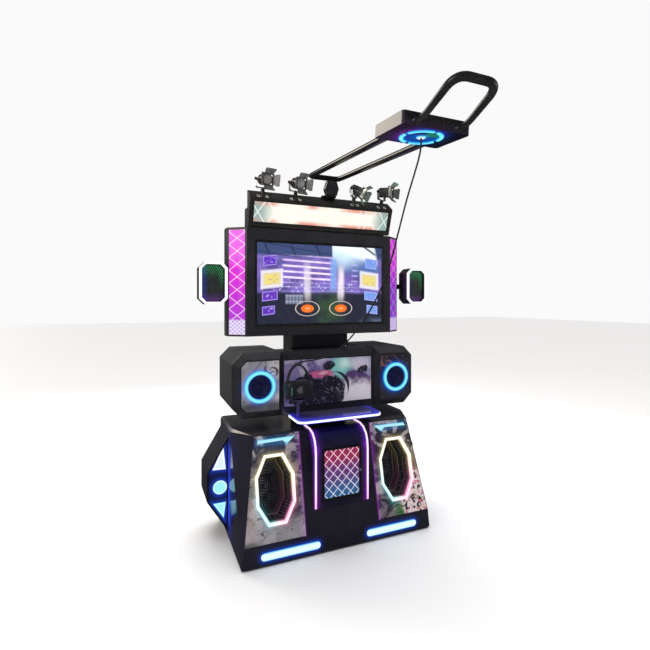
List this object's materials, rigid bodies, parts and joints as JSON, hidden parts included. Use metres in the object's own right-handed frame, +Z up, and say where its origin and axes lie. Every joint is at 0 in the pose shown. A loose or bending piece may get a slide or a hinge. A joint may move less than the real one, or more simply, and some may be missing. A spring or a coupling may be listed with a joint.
{
  "type": "music arcade cabinet with overhead boom",
  "caption": "Upright arcade cabinet with a glowing base, speaker console, large screen, lit marquee with stage lamps, and an overhead boom that holds a headset cord.",
  "frame": {"origin": "on the floor, at the bottom centre of the whole machine's bounding box", "axes": "+Z up, +X to the player's right, +Y from the player towards the back of the machine"},
  "size_m": [1.642, 1.8054, 2.352],
  "materials": {
    "gloss_black": "black high-gloss lacquered board",
    "gloss_shell": "black high-gloss moulded shell",
    "satin_black": "black satin sheet metal",
    "tube_black": "gloss black coated tube",
    "printed_panel": "printed silver mirror film under clear acrylic",
    "silver_panel": "silver sheet with a printed ornament",
    "dark_glass": "smoked clear acrylic over a lit tunnel",
    "white_light": "white lit diffuser",
    "cyan_light": "cyan lit diffuser",
    "magenta_light": "magenta lit diffuser with a lattice",
    "screen": "glossy lit display",
    "grille": "dark speaker cone",
    "gunmetal": "dark grey satin sheet",
    "steel": "satin",
    "rubber": "matte black",
    "headset_plastic": "fine-grained black"
  },
  "bodies": {
    "cabinet": {"base_carcass": "gloss_black", "boom_bracket": "satin_black", "boom_frame": "tube_black", "center_column": "gloss_black", "computer": "gunmetal", "console_center": "gloss_black", "display": "screen", "front_left_foot": "rubber", "front_right_foot": "rubber", "handle": "tube_black", "headset": "headset_plastic", "left_arrow_light": "cyan_light", "left_art_panel": "printed_panel", "left_kick_light": "white_light", "left_lamp_arm": "tube_black", "left_light_window": "dark_glass", "left_neon_strip": "white_light", "left_pod_window": "cyan_light", "left_side_pod": "gloss_black", "left_speaker": "grille", "left_speaker_box": "gloss_black", "left_speaker_panel": "silver_panel", "left_speaker_ring": "cyan_light", "left_wing_light": "magenta_light", "marquee_box": "gloss_black", "marquee_panel": "white_light", "monitor_cabinet": "gloss_black", "rear_left_foot": "rubber", "rear_right_foot": "rubber", "right_arrow_light": "cyan_light", "right_art_panel": "printed_panel", "right_kick_light": "white_light", "right_lamp_arm": "tube_black", "right_light_window": "dark_glass", "right_neon_strip": "white_light", "right_pod_window": "cyan_light", "right_side_pod": "gloss_black", "right_speaker": "grille", "right_speaker_box": "gloss_black", "right_speaker_panel": "silver_panel", "right_speaker_ring": "cyan_light", "right_wing_light": "magenta_light", "ring_light": "cyan_light", "shelf": "gloss_black", "shelf_light": "white_light", "spine": "gloss_black", "tether_cord": "rubber", "winder_box": "gloss_shell"},
    "service_door_body": {"service_door": "satin_black"},
    "rear_door_body": {"rear_door": "satin_black"},
    "left_lamp": {"left_side_lamp": "gloss_shell"},
    "right_lamp": {"right_side_lamp": "gloss_shell"},
    "yoke_1": {"stage_lamp_1_yoke": "steel"},
    "lamp_1": {"stage_lamp_1": "gunmetal"},
    "yoke_2": {"stage_lamp_2_yoke": "steel"},
    "lamp_2": {"stage_lamp_2": "gunmetal"},
    "yoke_3": {"stage_lamp_3_yoke": "steel"},
    "lamp_3": {"stage_lamp_3": "gunmetal"},
    "yoke_4": {"stage_lamp_4_yoke": "steel"},
    "lamp_4": {"stage_lamp_4": "gunmetal"}
  },
  "joints": [
    {"name": "service_door_hinge", "type": "hinge", "parent": "cabinet", "child": "service_door_body", "pos_m": [-0.132, 0.2657, 0.45], "axis": [0, 0, -1], "range_deg": [0, 100]},
    {"name": "rear_door_hinge", "type": "hinge", "parent": "cabinet", "child": "rear_door_body", "pos_m": [-0.452, 0.9022, 0.36], "axis": [0, 0, 1], "range_deg": [0, 110]},
    {"name": "stage_lamp_1_pan", "type": "hinge", "parent": "cabinet", "child": "yoke_1", "pos_m": [-0.432, 0.5227, 2.272], "axis": [0, 0, 1], "range_deg": [-62, 18]},
    {"name": "stage_lamp_1_tilt", "type": "hinge", "parent": "yoke_1", "child": "lamp_1", "pos_m": [-0.432, 0.5227, 2.272], "axis": [-0.9781, -0.2079, 0], "range_deg": [-8, 42]},
    {"name": "stage_lamp_2_pan", "type": "hinge", "parent": "cabinet", "child": "yoke_2", "pos_m": [-0.212, 0.5227, 2.272], "axis": [0, 0, 1], "range_deg": [-42, 0]},
    {"name": "stage_lamp_2_tilt", "type": "hinge", "parent": "yoke_2", "child": "lamp_2", "pos_m": [-0.212, 0.5227, 2.272], "axis": [-0.9781, -0.2079, 0], "range_deg": [-5, 45]},
    {"name": "stage_lamp_3_pan", "type": "hinge", "parent": "cabinet", "child": "yoke_3", "pos_m": [0.212, 0.5227, 2.272], "axis": [0, 0, 1], "range_deg": [-50, 0]},
    {"name": "stage_lamp_3_tilt", "type": "hinge", "parent": "yoke_3", "child": "lamp_3", "pos_m": [0.212, 0.5227, 2.272], "axis": [-0.7071, -0.7071, 0], "range_deg": [0, 58]},
    {"name": "stage_lamp_4_pan", "type": "hinge", "parent": "cabinet", "child": "yoke_4", "pos_m": [0.432, 0.5227, 2.272], "axis": [0, 0, 1], "range_deg": [-50, 30]},
    {"name": "stage_lamp_4_tilt", "type": "hinge", "parent": "yoke_4", "child": "lamp_4", "pos_m": [0.432, 0.5227, 2.272], "axis": [-0.866, -0.5, 0], "range_deg": [-12, 38]},
    {"name": "left_side_lamp_swivel", "type": "hinge", "parent": "cabinet", "child": "left_lamp", "pos_m": [-0.736, 0.7077, 1.615], "axis": [0, 0, 1], "range_deg": [-12, 7]},
    {"name": "right_side_lamp_swivel", "type": "hinge", "parent": "cabinet", "child": "right_lamp", "pos_m": [0.736, 0.7077, 1.615], "axis": [0, 0, 1], "range_deg": [-7, 12]}
  ]
}
